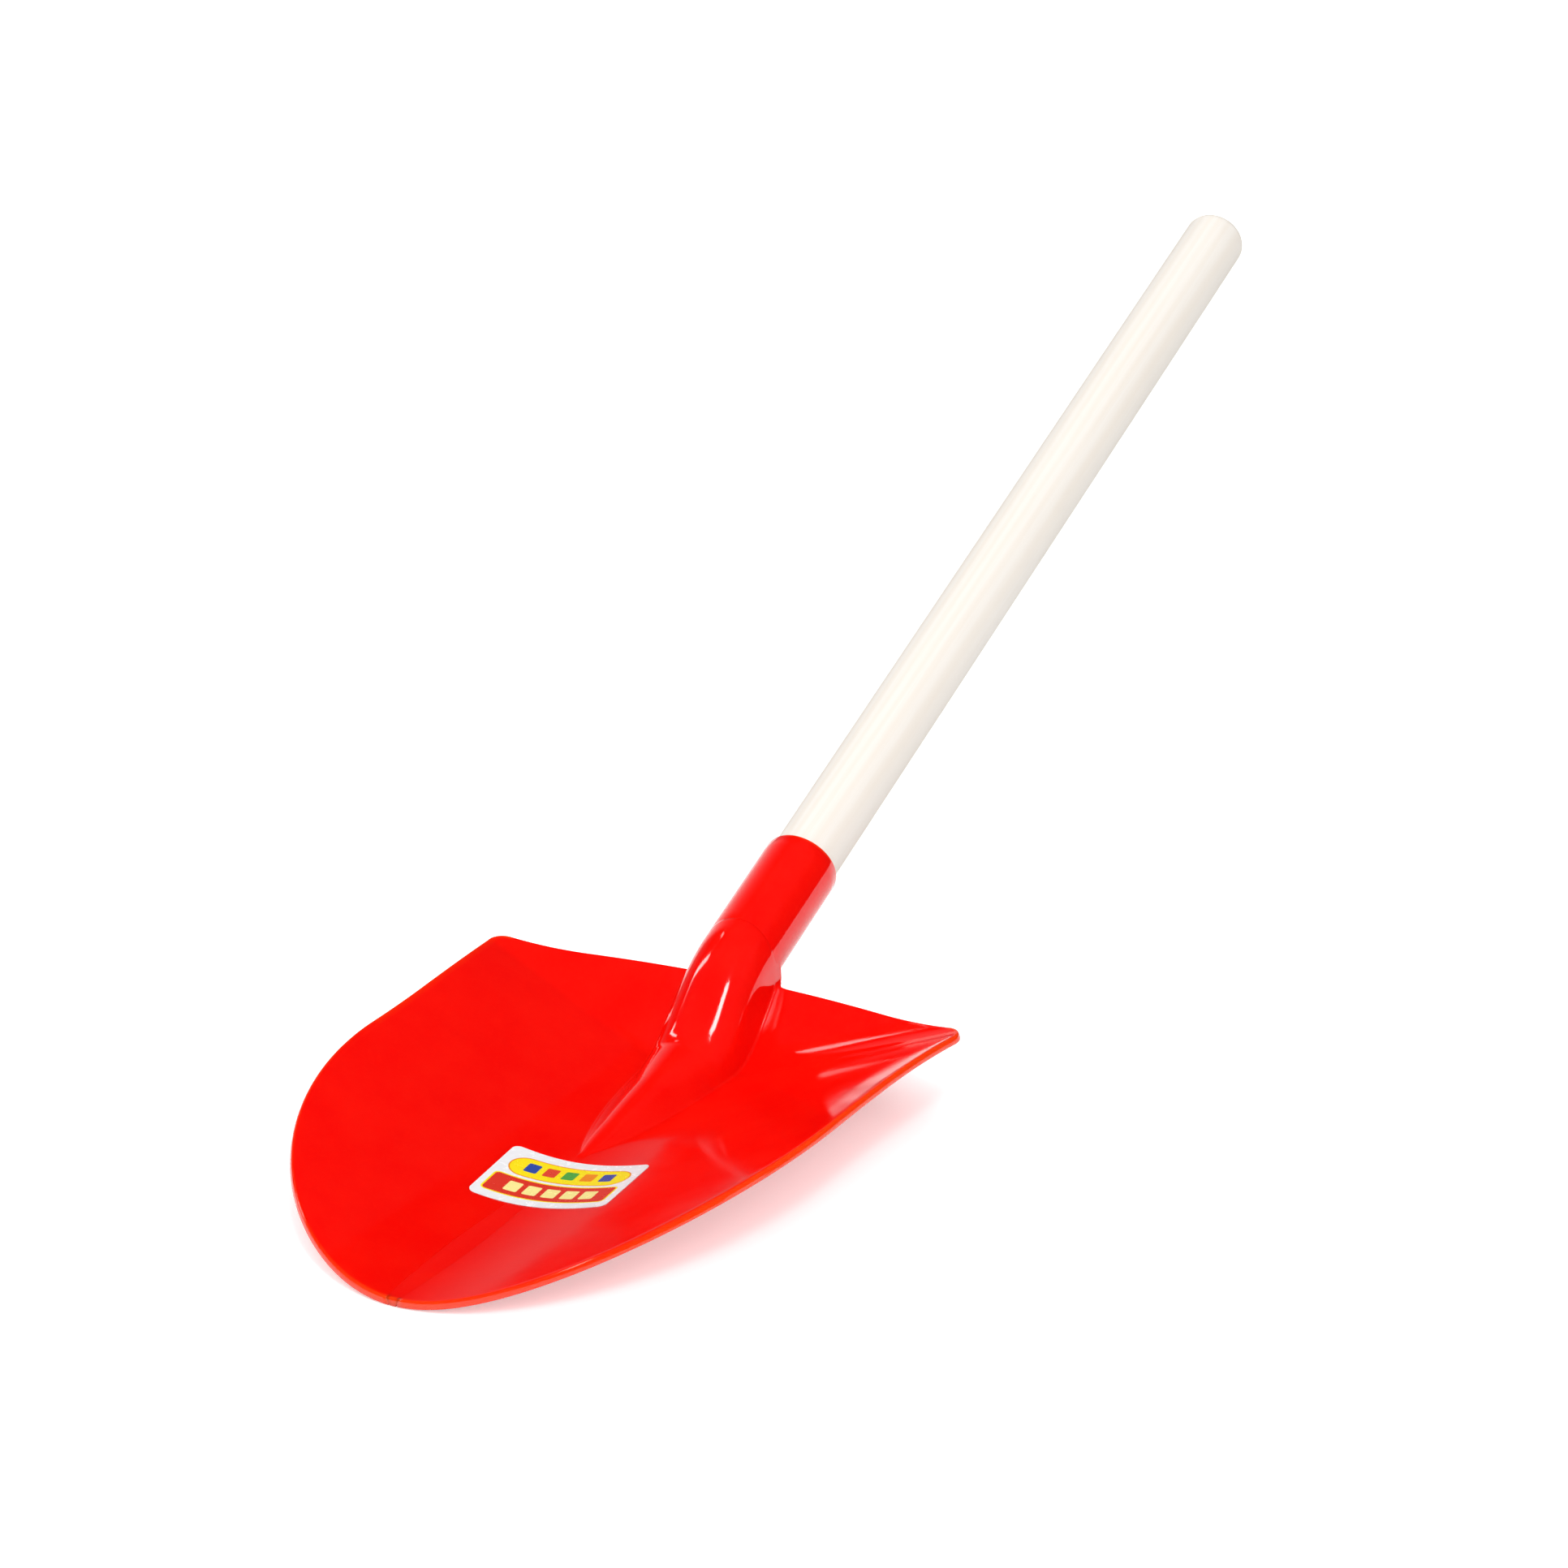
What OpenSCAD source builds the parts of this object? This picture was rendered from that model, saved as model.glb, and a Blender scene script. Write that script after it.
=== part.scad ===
// Sand shovel with a wooden handle: a moulded plastic scoop whose hollow ridge runs
// back into a round socket, a wooden dowel pushed into the socket, one pan head screw
// under the socket, and a thin film label stuck in the scoop.
// Frame: X across, the blade tip points to -Y, the handle rises to +Y, Z up, floor at
// zero. The origin is the middle of the footprint of the whole shovel.

/* [Blade plan] */

// Length from the rear corners to the blade tip
blade_length = 159; // [120:1:220]
// Width over the rear corners
blade_width = 136; // [100:1:180]
// Width where the rounded front begins
blade_front_width = 129.2; // [96:0.2:176]
// Length of the rounded front
front_length = 95; // [60:1:110]
// Fullness of the rounded front: half is an ellipse, more is more pointed
front_shape_share = 0.52; // [0.45:0.01:0.7]
// How far the rear rim bows back in the middle
rear_bow = 8.5; // [2:0.5:16]
// Plan radius of the two rear corners
corner_radius = 4; // [2:0.5:12]

/* [Blade section] */

// Thickness of the plastic
wall_thickness = 2.2; // [1.6:0.1:4]
// Rise of the rim at the rear corners
rise_rear = 17.6; // [10:0.1:26]
// Greatest rise of the side rims
rise_middle = 19.8; // [12:0.1:28]
// Rise where the rounded front begins
rise_front = 19.9; // [12:0.1:28]
// Distance from the rear corners to the greatest rise
rise_station = 40; // [20:1:60]
// Roundness of the trough: larger is rounder, smaller is more like a V
section_share = 0.4; // [0.2:0.05:0.9]
// Height of the rear rim over the floor of the blade
rear_rim_rise = 16.9; // [8:0.1:24]
// Slope of the rear wall
rear_slope_share = 0.95; // [0.6:0.05:1.6]
// Size of the sweep between rear wall and floor
rear_sweep = 7; // [3:0.5:12]

/* [Ridge] */

// Distance from the rear corners to the tip of the ridge
ridge_length = 73; // [50:1:100]
// Distance from the rear corners to the kink in the ridge
kink_station = 20.5; // [12:0.5:30]
// Height of the ridge over the floor at the kink
kink_rise = 10; // [6:0.5:14]
// Slope of the steep front of the ridge
front_slope_share = 1; // [0.7:0.05:1.4]
// Softness of the bend from socket to ridge
bend_softness = 4; // [1:0.5:7]
// Softness of the kink
kink_softness = 1.6; // [0.5:0.1:4]
// How much wider the foot of the ridge is at the kink than the socket, on each side
kink_spread = 0.9; // [0:0.1:1.6]
// Radius of the seam along the foot of the ridge
seam_radius = 0.7; // [0.4:0.1:2.5]
// How far the sides of the ridge run back past the rear rim
skirt_tab = 3.5; // [1:0.5:6]

/* [Socket] */

// Outer diameter of the socket
socket_diameter = 20.6; // [20:0.1:26]
// Bore of the socket at its mouth
bore_diameter = 18.2; // [16:0.1:20]
// How much narrower the bore is at its bottom, the draft of the moulding
bore_draft = 0.6; // [0:0.1:1.2]
// Distance along the axis from the corner line to the socket's mouth
mouth_station = 46.6; // [36:0.1:70]
// Distance along the axis from the corner line to the bottom of the bore
bore_station = 10.4; // [9.6:0.1:14]
// Thickness of the end wall behind the bore
end_wall = 1.6; // [1:0.1:2.4]
// Height of the axis over the floor at the corner line
axis_height = 20.8; // [18:0.1:26]
// Tilt of the handle in degrees
handle_tilt = 21.95; // [16:0.05:28]
// Depth of the bevel inside the mouth
mouth_bevel = 0.6; // [0.2:0.1:0.9]

/* [Handle] */

// Diameter of the wooden dowel
handle_diameter = 18; // [15.8:0.1:19.8]
// Distance along the axis from the corner line to the free end
handle_station = 338.8; // [200:0.1:500]
// Edge radius of the free end
handle_edge = 4.2; // [1:0.1:7]
// Chamfer on the end inside the socket
handle_chamfer = 1; // [0.4:0.1:2]

/* [Fixing screw] */

// Distance along the axis from the corner line to the screw
screw_station = 30.5; // [14:0.5:38]
// Diameter of the pan head
head_diameter = 8.6; // [6:0.1:10]
// Height of the pan head
head_height = 2.6; // [1.6:0.1:3.4]
// Diameter of the thread
thread_diameter = 3.5; // [2.5:0.1:4.5]
// Length of the thread under the head
thread_length = 12; // [8:0.5:16]
// Width of the slots of the cross recess
recess_width = 0.9; // [0.5:0.1:1.4]
// Length of the slots of the cross recess
recess_length = 4.6; // [3:0.1:5.6]
// Depth of the cross recess
recess_depth = 1.3; // [0.6:0.1:1.6]

/* [Label] */

// Length of the label across the blade
label_width = 36.5; // [20:0.5:50]
// Length of the label along the blade
label_height = 26.5; // [14:0.5:32]
// Thickness of the film
label_thickness = 0.3; // [0.2:0.05:0.6]
// Distance from the tip of the ridge to the middle of the label
label_gap = 17; // [14:0.5:36]
// Sideways shift of the label
label_shift = 3.9; // [-8:0.1:8]
// Turn of the label in degrees
label_turn = 4.4; // [-15:0.1:15]
// Corner radius of the label
label_corner = 2; // [0.5:0.1:4]

/* [Hidden] */

// Colours of the pieces
scoop_tint = [0.86, 0.03, 0.02];
wood_tint = [0.87, 0.77, 0.62];
steel_tint = [0.62, 0.63, 0.65];
label_tint = [0.9, 0.89, 0.88];

// Grid of the scoop's faces
arc_steps = 7;
seam_steps = 3;
dish_steps = 11;
corner_rows = 4;
side_rows = 20;
front_rows = 15;
front_reach_share = 0.965;

// Small rooms between pieces
fit_gap = 0.15;
film_gap = 0.1;
thread_room = 0.15;
pilot_room = 0.02;
seam_spread = 0.08;
foot_margin = 0.5;
foot_ramp = 3;
seat_margin = 0.4;
seat_height = 0.4;

// Shares that shape the ridge
flare_share = 2;
ridge_share = 0.985;
taper_start_share = 0.14;
taper_fullness_share = 2.2;
taper_point_share = 0.75;
spread_end_share = 0.7;
tail_share = 0.12;
tail_spread_share = 0.3;
crown_share = 0.8;
lean_share = 0.06;
tip_lean_share = 1.4;
lean_start_share = 0.16;
lean_end_share = 0.71;
lean_limit_share = 0.7;
arc_limit_share = 0.1;
seam_limit_share = 0.35;
hollow_start_share = 0.6;
hollow_width_share = 0.3;
under_seam_share = 0.6;
tab_step_share = 0.5;
under_tab_share = 0.4;

// Shares that shape the mouth's bevel and the screw
bevel_inner_share = 0.1;
bevel_outer_share = 1.4;
seat_root_share = 0.6;
hole_start_share = 0.5;
point_share = 2.2;
crown_flat_share = 0.55;
head_side_share = 0.35;

half_rear = blade_width / 2;
half_front = blade_front_width / 2;
side_length = blade_length - front_length;
half_blade = half_front;
socket_radius = socket_diameter / 2;
bore_radius = bore_diameter / 2;
handle_radius = handle_diameter / 2;
head_radius = head_diameter / 2;
thread_radius = thread_diameter / 2;
ridge_half = ridge_share * socket_radius;
axis_slope = tan(handle_tilt);
section_span = sqrt(section_share * section_share + 1) - section_share;

// Everything is moved so that the origin is the middle of the footprint
end_reach = handle_station * cos(handle_tilt)
  + (handle_radius - handle_edge) * sin(handle_tilt)
  + handle_edge * (1 - cos(handle_tilt));
tip_reach = blade_length;
plan_shift = (tip_reach - end_reach) / 2;

function clamp01(v) = min(1, max(0, v));
function ease(v) = clamp01(v) * clamp01(v) * (3 - 2 * clamp01(v));
function soft_max(a, b, k) = max(a, b) + pow(max(k - abs(a - b), 0) / k, 2) * k / 4;
function soft_min(a, b, k) = min(a, b) - pow(max(k - abs(a - b), 0) / k, 2) * k / 4;

// Half width of the blade at station t, which runs from the corner line to the tip
function corner_cut(t) = corner_radius
  - sqrt(max(0, corner_radius * corner_radius
  - pow(max(0, corner_radius - t), 2)));
function half_width(t) = t > side_length
  ? half_front * pow(max(0, 1 - pow((t - side_length) / front_length, 2)), front_shape_share)
  : half_front + (half_rear - half_front) * pow(1 - t / side_length, flare_share) - corner_cut(t);

// Rise of the rim over the floor at station t
function rim_rise(t) = t < rise_station
  ? rise_middle - (rise_middle - rise_rear) * pow(1 - t / rise_station, 2)
  : rise_middle - (rise_middle - rise_front) * ease((t - rise_station) / side_length);
function bow(x) = rear_bow * (1 - pow(x / half_rear, 2));
function trough(x, t) = wall_thickness + rim_rise(max(0, t))
  * (sqrt(section_share * section_share + pow(x / half_blade, 2)) - section_share)
  / section_span;
function wall(x, y) = wall_thickness + rear_rim_rise + (y - bow(x)) * rear_slope_share;
function dish(x, y) = soft_max(trough(x, -y), wall(x, y), rear_sweep);

// Small steps for slopes
step_share = 0.0005;
step_size = step_share * blade_length;
function dish_dx(x, y) = (dish(x + step_size, y) - dish(x - step_size, y)) / (2 * step_size);
function dish_dy(x, y) = (dish(x, y + step_size) - dish(x, y - step_size)) / (2 * step_size);
function unit3(v) = v / norm(v);
function dish_normal(x, y) = unit3([-dish_dx(x, y), -dish_dy(x, y), 1]);

// Top line of the ridge
tip_level = dish(0, -ridge_length);
kink_level = wall_thickness + kink_rise;
wedge_slope = (kink_level - tip_level) / (ridge_length - kink_station);
function tube_line(y) = axis_height + y * axis_slope + ridge_half / cos(handle_tilt);
function front_line(y) = kink_level + (y + kink_station) * front_slope_share;
function wedge_line(y) = tip_level + (y + ridge_length) * wedge_slope;
function ridge_top(y) = soft_max(soft_min(tube_line(y), front_line(y), bend_softness),
  wedge_line(y), kink_softness);
ridge_start = ridge_length * taper_start_share;
function taper(y) = clamp01((-y - ridge_start) / (ridge_length - ridge_start));
function ridge_rise(y) = max(0, ridge_top(y) - dish(0, y));
function round_rise(y) = min(ridge_half / cos(handle_tilt), crown_share * ridge_rise(y));
function seam(y) = min(seam_radius, seam_limit_share * ridge_rise(y));

// How far the flank of the ridge runs outwards for each millimetre that it falls
function full_lean(y) = lean_share + (tip_lean_share - lean_share)
  * ease((-y / ridge_length - lean_start_share) / (lean_end_share - lean_start_share));
// Half width of the ridge where its flanks meet the floor
function socket_spread(y) = let(l = full_lean(y), h = ridge_rise(y), q = round_rise(y))
  sqrt(ridge_half * ridge_half + q * q * l * l) + l * (h - q) - ridge_half;
function ridge_foot(y) = -y < ridge_length
  ? ridge_half * max(tail_share, pow(1 - pow(taper(y), taper_fullness_share), taper_point_share))
    + socket_spread(y) * (1 - ease((-y - ridge_start) / (spread_end_share * kink_station)))
    + kink_spread * ease(-y / kink_station)
    * (1 - ease((-y - kink_station) / (ridge_length - kink_station)))
  : ridge_half * (tail_share + tail_spread_share * ease((-y - ridge_length) / side_length)
    * half_width(-y) / half_front);
function flank_lean(y) = ridge_rise(y) > 0
  ? min(full_lean(y), lean_limit_share * ridge_foot(y) / ridge_rise(y)) : lean_share;
// Radius across of the arc that runs into the flank without an edge
function arc_half(x, h, q, l) = sqrt(max(pow(arc_limit_share * x, 2),
  pow(x - l * (h - q), 2) - q * q * l * l));

// One section: an arc over the ridge, its flank, the seam and the dish out to the rim.
// Each entry is the distance from the middle and the rise over the dish.
function section(x, h, q, l, r, w) = let(
  a = arc_half(x, h, q, l), turn = atan2(a, q * l), f = atan2(1, l),
  c = x + r * tan(f / 2), e = c + (seam_steps + 1) * seam_spread)
  concat(
    [for (i = [0 : arc_steps]) let(g = turn * i / arc_steps)
      [a * sin(g), h - q * (1 - cos(g))]],
    [for (i = [0 : seam_steps]) let(g = f * (1 - i / seam_steps))
      [c + (i + 1) * seam_spread - r * sin(g), r * (1 - cos(g))]],
    [for (i = [1 : dish_steps]) let(v = i / dish_steps)
      [e + (w - e) * v, 0]]);
function section_top(y, w) = section(ridge_foot(y), ridge_rise(y), round_rise(y),
  flank_lean(y), seam(y), w);
function section_under(y, w) = let(
  x = ridge_foot(y), l = flank_lean(y),
  room = clamp01((x - wall_thickness) / wall_thickness - hollow_start_share),
  b = max(x - wall_thickness * (sqrt(1 + l * l) - l), x * hollow_width_share),
  h = ridge_rise(y) * room, q = min(round_rise(y), h),
  r = min(seam_radius + under_seam_share * wall_thickness, seam_limit_share * h))
  section(b, h, q, l, r, w);

// Stations of the rows
row_stations = concat(
  [for (i = [0 : corner_rows]) corner_radius * (1 - cos(90 * i / corner_rows))],
  [for (i = [1 : side_rows]) corner_radius + (side_length - corner_radius) * i / side_rows],
  [for (i = [1 : front_rows]) side_length
    + front_length * sin(90 * front_reach_share * i / front_rows)]);
rows = len(row_stations);
half_count = arc_steps + 1 + seam_steps + 1 + dish_steps;
columns = 2 * half_count - 1;

function fade(t) = pow(clamp01(1 - t / side_length), 2);
function tab(k, t) = k <= arc_steps + 1 ? skirt_tab * fade(t)
  : k == arc_steps + 2 ? skirt_tab * tab_step_share * fade(t) : 0;
function half_of(i) = abs(i - half_count + 1);
function side_of(i) = i < half_count - 1 ? -1 : 1;
function base_y(x, t) = -t + bow(x) * fade(t);
// The arc over the ridge is measured from the middle of the floor, the rest from the floor
function foot_level(k, x, y) = k <= arc_steps ? dish(0, y) : dish(x, y);
function place_top(i, t) = let(
  k = half_of(i), s = section_top(-t, half_width(t))[k], x = side_of(i) * s[0],
  y = base_y(x, t) + tab(k, t), s2 = section_top(y, half_width(t))[k])
  [side_of(i) * s2[0], y, foot_level(k, side_of(i) * s2[0], min(y, bow(x))) + s2[1]];
function place_under(i, t) = let(
  k = half_of(i), s = section_under(-t, half_width(t))[k], x = side_of(i) * s[0],
  y = base_y(x, t) + tab(k, t), s2 = section_under(y, half_width(t))[k],
  x2 = side_of(i) * s2[0], y2 = min(y, bow(x)), n = dish_normal(x2, y2))
  [x2 - wall_thickness * n[0], y - wall_thickness * n[1] * (k > arc_steps + 2 ? 1 : under_tab_share),
    foot_level(k, x2, y2) - wall_thickness * n[2] + s2[1]];

top_points = [for (j = [0 : rows - 1]) for (i = [0 : columns - 1])
  place_top(i, row_stations[j])];
under_points = [for (j = [0 : rows - 1]) for (i = [0 : columns - 1])
  place_under(i, row_stations[j])];
lot = rows * columns;
function at(j, i) = j * columns + i;
shell_faces = concat(
  [for (j = [0 : rows - 2]) for (i = [0 : columns - 2])
    each [[at(j, i), at(j, i + 1), at(j + 1, i + 1)],
      [at(j, i), at(j + 1, i + 1), at(j + 1, i)]]],
  [for (j = [0 : rows - 2]) for (i = [0 : columns - 2])
    each [[lot + at(j, i), lot + at(j + 1, i + 1), lot + at(j, i + 1)],
      [lot + at(j, i), lot + at(j + 1, i), lot + at(j + 1, i + 1)]]],
  [for (i = [0 : columns - 2])
    each [[at(0, i), lot + at(0, i), lot + at(0, i + 1)],
      [at(0, i), lot + at(0, i + 1), at(0, i + 1)]]],
  [for (i = [0 : columns - 2]) let(j = rows - 1)
    each [[at(j, i), lot + at(j, i + 1), lot + at(j, i)],
      [at(j, i), at(j, i + 1), lot + at(j, i + 1)]]],
  [for (j = [0 : rows - 2])
    each [[at(j, 0), lot + at(j + 1, 0), lot + at(j, 0)],
      [at(j, 0), at(j + 1, 0), lot + at(j + 1, 0)]]],
  [for (j = [0 : rows - 2]) let(i = columns - 1)
    each [[at(j, i), lot + at(j, i), lot + at(j + 1, i)],
      [at(j, i), lot + at(j + 1, i), at(j + 1, i)]]]);

module on_axis(station) {
  translate([0, plan_shift, axis_height])
    rotate([handle_tilt - 90, 0, 0])
      translate([0, 0, station])
        children();
}

module shell() {
  translate([0, plan_shift, 0])
    polyhedron(points = concat(top_points, under_points), faces = shell_faces);
}

socket_foot = bore_station - end_wall;
socket_length = mouth_station - socket_foot;
bore_length = mouth_station - bore_station;
bore_bottom = bore_radius - bore_draft / 2;

// Seat under the screw head, moulded on the underside of the socket
seat_radius = head_radius + seat_margin;
seat_inset = seat_root_share * (socket_radius - bore_radius);
module below_axis(station, depth) {
  on_axis(station)
    translate([0, depth, 0])
      rotate([-90, 0, 0])
        children();
}

module scoop() {
  color(scoop_tint)
    difference() {
      union() {
        shell();
        on_axis(socket_foot)
          cylinder(h = foot_ramp, r1 = ridge_half - foot_margin, r2 = socket_radius, $fn = 96);
        on_axis(socket_foot + foot_ramp)
          cylinder(h = socket_length - foot_ramp, r = socket_radius, $fn = 96);
        below_axis(screw_station, bore_radius + seat_inset)
          cylinder(h = socket_radius - bore_radius - seat_inset + seat_height,
            r = seat_radius, $fn = 64);
      }
      on_axis(bore_station)
        cylinder(h = bore_length, r1 = bore_bottom, r2 = bore_radius, $fn = 96);
      on_axis(mouth_station - mouth_bevel)
        cylinder(h = 2 * mouth_bevel, r1 = bore_radius - bevel_inner_share * mouth_bevel,
          r2 = bore_radius + bevel_outer_share * mouth_bevel, $fn = 96);
      below_axis(screw_station, hole_start_share * bore_radius)
        cylinder(h = socket_radius, r = thread_radius + thread_room, $fn = 32);
    }
}

// The dowel's outline from its inner end, which tapers like the bore up to the socket's
// mouth, to the rounded free end
handle_foot = bore_station + fit_gap;
handle_length = handle_station - handle_foot;
taper_length = mouth_station - handle_foot;
foot_radius = handle_radius - bore_draft / 2 * taper_length / bore_length;
edge_steps = 6;
handle_outline = concat(
  [[0, 0], [foot_radius - handle_chamfer, 0], [foot_radius, handle_chamfer],
    [handle_radius, taper_length]],
  [for (i = [0 : edge_steps]) let(g = 90 * i / edge_steps)
    [handle_radius - handle_edge + handle_edge * cos(g),
      handle_length - handle_edge + handle_edge * sin(g)]],
  [[0, handle_length]]);

module handle() {
  color(wood_tint)
    difference() {
      on_axis(handle_foot)
        rotate_extrude($fn = 96)
          polygon(points = handle_outline);
      below_axis(screw_station, handle_radius - pilot_depth)
        cylinder(h = pilot_depth + handle_radius, r = thread_radius + pilot_room, $fn = 32);
    }
}

// The screw's outline, from the point up through the shank to the pan head
seat_level = socket_radius + seat_height;
pilot_depth = thread_length - (seat_level - handle_radius) + pilot_room;
point_length = point_share * thread_radius;
head_steps = 5;
screw_outline = concat(
  [[0, -thread_length], [thread_radius, point_length - thread_length],
    [thread_radius, 0], [head_radius, 0]],
  [for (i = [0 : head_steps]) let(g = 90 * i / head_steps)
    [head_radius * (crown_flat_share + (1 - crown_flat_share) * cos(g)),
      head_height * (head_side_share + (1 - head_side_share) * sin(g))]],
  [[0, head_height]]);

module fixing_screw() {
  color(steel_tint)
    below_axis(screw_station, seat_level)
      difference() {
        rotate_extrude($fn = 64)
          polygon(points = screw_outline);
        translate([-recess_length / 2, -recess_width / 2, head_height - recess_depth])
          cube([recess_length, recess_width, head_height]);
        translate([-recess_width / 2, -recess_length / 2, head_height - recess_depth])
          cube([recess_width, recess_length, head_height]);
      }
}

// The label is a film that follows the floor of the blade
label_distance = ridge_length + label_gap;
label_columns = 12;
label_rows = 8;
label_corner_rows = 3;
label_levels = concat(
  [for (i = [0 : label_corner_rows]) -label_height / 2
    + label_corner * (1 - cos(90 * i / label_corner_rows))],
  [for (i = [1 : label_rows - 1]) label_corner - label_height / 2
    + (label_height - 2 * label_corner) * i / label_rows],
  [for (i = [0 : label_corner_rows]) label_height / 2
    - label_corner * (1 - sin(90 * i / label_corner_rows))]);
function label_half(v) = label_width / 2 - label_corner
  + sqrt(max(0, label_corner * label_corner
  - pow(max(0, abs(v) - label_height / 2 + label_corner), 2)));
function label_place(u, v, lift) = let(
  x = label_shift + u * cos(label_turn) - v * sin(label_turn),
  y = -label_distance + u * sin(label_turn) + v * cos(label_turn))
  [x, y, dish(x, y) + lift];
label_lot = len(label_levels) * (label_columns + 1);
function label_points(lift) = [for (v = label_levels) for (i = [0 : label_columns])
  label_place(label_half(v) * (2 * i / label_columns - 1), v, lift)];
function lat(j, i) = j * (label_columns + 1) + i;
label_last = len(label_levels) - 1;
label_faces = concat(
  [for (j = [0 : label_last - 1]) for (i = [0 : label_columns - 1])
    each [[lat(j, i), lat(j + 1, i + 1), lat(j, i + 1)],
      [lat(j, i), lat(j + 1, i), lat(j + 1, i + 1)]]],
  [for (j = [0 : label_last - 1]) for (i = [0 : label_columns - 1])
    each [[label_lot + lat(j, i), label_lot + lat(j, i + 1), label_lot + lat(j + 1, i + 1)],
      [label_lot + lat(j, i), label_lot + lat(j + 1, i + 1), label_lot + lat(j + 1, i)]]],
  [for (i = [0 : label_columns - 1])
    each [[lat(0, i), lat(0, i + 1), label_lot + lat(0, i + 1)],
      [lat(0, i), label_lot + lat(0, i + 1), label_lot + lat(0, i)]]],
  [for (i = [0 : label_columns - 1]) let(j = label_last)
    each [[lat(j, i), label_lot + lat(j, i + 1), lat(j, i + 1)],
      [lat(j, i), label_lot + lat(j, i), label_lot + lat(j, i + 1)]]],
  [for (j = [0 : label_last - 1])
    each [[lat(j, 0), label_lot + lat(j, 0), label_lot + lat(j + 1, 0)],
      [lat(j, 0), label_lot + lat(j + 1, 0), lat(j + 1, 0)]]],
  [for (j = [0 : label_last - 1]) let(i = label_columns)
    each [[lat(j, i), label_lot + lat(j + 1, i), label_lot + lat(j, i)],
      [lat(j, i), lat(j + 1, i), label_lot + lat(j + 1, i)]]]);

module label() {
  color(label_tint)
    translate([0, plan_shift, 0])
      polyhedron(points = concat(label_points(film_gap), label_points(film_gap + label_thickness)),
        faces = label_faces);
}

scoop();
handle();
fixing_screw();
label();
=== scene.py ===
import math
import bpy
from mathutils import Matrix, Vector


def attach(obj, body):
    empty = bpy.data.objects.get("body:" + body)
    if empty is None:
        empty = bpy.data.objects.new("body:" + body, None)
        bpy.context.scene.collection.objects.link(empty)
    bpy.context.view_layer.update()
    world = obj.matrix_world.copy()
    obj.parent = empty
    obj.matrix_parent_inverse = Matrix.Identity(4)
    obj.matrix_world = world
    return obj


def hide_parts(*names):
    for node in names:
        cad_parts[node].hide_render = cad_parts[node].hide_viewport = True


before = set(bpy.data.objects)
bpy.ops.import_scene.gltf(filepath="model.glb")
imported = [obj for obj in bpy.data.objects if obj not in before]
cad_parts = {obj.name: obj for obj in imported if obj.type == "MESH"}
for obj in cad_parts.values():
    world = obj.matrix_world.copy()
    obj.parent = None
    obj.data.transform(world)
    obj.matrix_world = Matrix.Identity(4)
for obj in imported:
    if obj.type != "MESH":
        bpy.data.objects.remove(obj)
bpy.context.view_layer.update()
MM = 0.001

# Sizes, in millimetres
BLADE_LENGTH = 159.0
BLADE_WIDTH = 136.0
BLADE_FRONT_WIDTH = 129.2
FRONT_LENGTH = 95.0
FRONT_SHAPE = 0.52
REAR_BOW = 8.5
CORNER_RADIUS = 4.0
WALL = 2.2
RISE_REAR, RISE_MIDDLE, RISE_FRONT, RISE_STATION = 17.6, 19.8, 19.9, 40.0
SECTION = 0.4
REAR_RISE, REAR_SLOPE, REAR_SWEEP = 16.9, 0.95, 7.0
RIDGE_LENGTH, KINK_STATION, KINK_RISE, FRONT_SLOPE = 73.0, 20.5, 10.0, 1.0
BEND_SOFT, KINK_SOFT, KINK_SPREAD, SEAM_RADIUS, SKIRT_TAB = 4.0, 1.6, 0.9, 0.7, 3.5
SOCKET_RADIUS, BORE_RADIUS, BORE_BOTTOM = 10.3, 9.1, 8.8
MOUTH_STATION, BORE_STATION, END_WALL, AXIS_HEIGHT = 46.6, 10.4, 1.6, 20.8
TILT = math.radians(21.95)
HANDLE_RADIUS, HANDLE_STATION, HANDLE_EDGE, HANDLE_CHAMFER, FIT_GAP = 9.0, 338.8, 4.2, 1.0, 0.15
SCREW_STATION, HEAD_RADIUS, HEAD_HEIGHT, SEAT_HEIGHT, SEAT_MARGIN = 30.5, 4.3, 2.6, 0.4, 0.4
THREAD_RADIUS, THREAD_LENGTH = 1.75, 12.0
LABEL_WIDTH, LABEL_HEIGHT, LABEL_STATION, LABEL_SHIFT = 36.5, 26.5, 90.0, 3.9
LABEL_TURN, LABEL_CORNER = math.radians(4.4), 2.0

# Radius of the ridge's round top, and how far the rounded lip runs in from the rim
RIDGE_RADIUS, LIP = 10.31, 0.85

# Shares and slopes of the ridge: its flanks, its taper, the hollow under it and its rear edge
SOCKET_LEAN, LEAN_SPREAD, LEAN_START, LEAN_REACH, LEAN_LIMIT = 0.06, 1.34, 0.16, 0.55, 0.7
TAPER_START, TAPER_FULLNESS, TAPER_POINT, SPREAD_END = 0.14, 2.2, 0.75, 0.7
TAIL_SHARE, TAIL_SPREAD, ROUND_SHARE, ARC_LIMIT = 0.12, 0.3, 0.8, 0.1
SEAM_SHARE, SEAM_LAND, HOLLOW_START, LEAST_HOLLOW, UNDER_SEAM = 0.35, 0.3, 0.6, 0.3, 0.6
REAR_SHARE = 0.4

# Points in half a section of the shell, steps round its rim and the spacing of its rows
ARCS, FLANKS, SEAMS, FLATS = 18, 6, 8, 44
RIM_STEPS, RIM_POWER = 9, 0.6
CORNER_ROWS, FINE_END, FINE_STEP, COARSE_STEP, FRONT_ROWS, FRONT_REACH = 8, 30, 0.55, 1.1, 56, 0.986
SEAM_START = ARCS + FLANKS
FLAT_START = SEAM_START + SEAMS
HALF_COUNT = FLAT_START + FLATS + 1
COLUMNS = 2 * HALF_COUNT - 1

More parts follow.
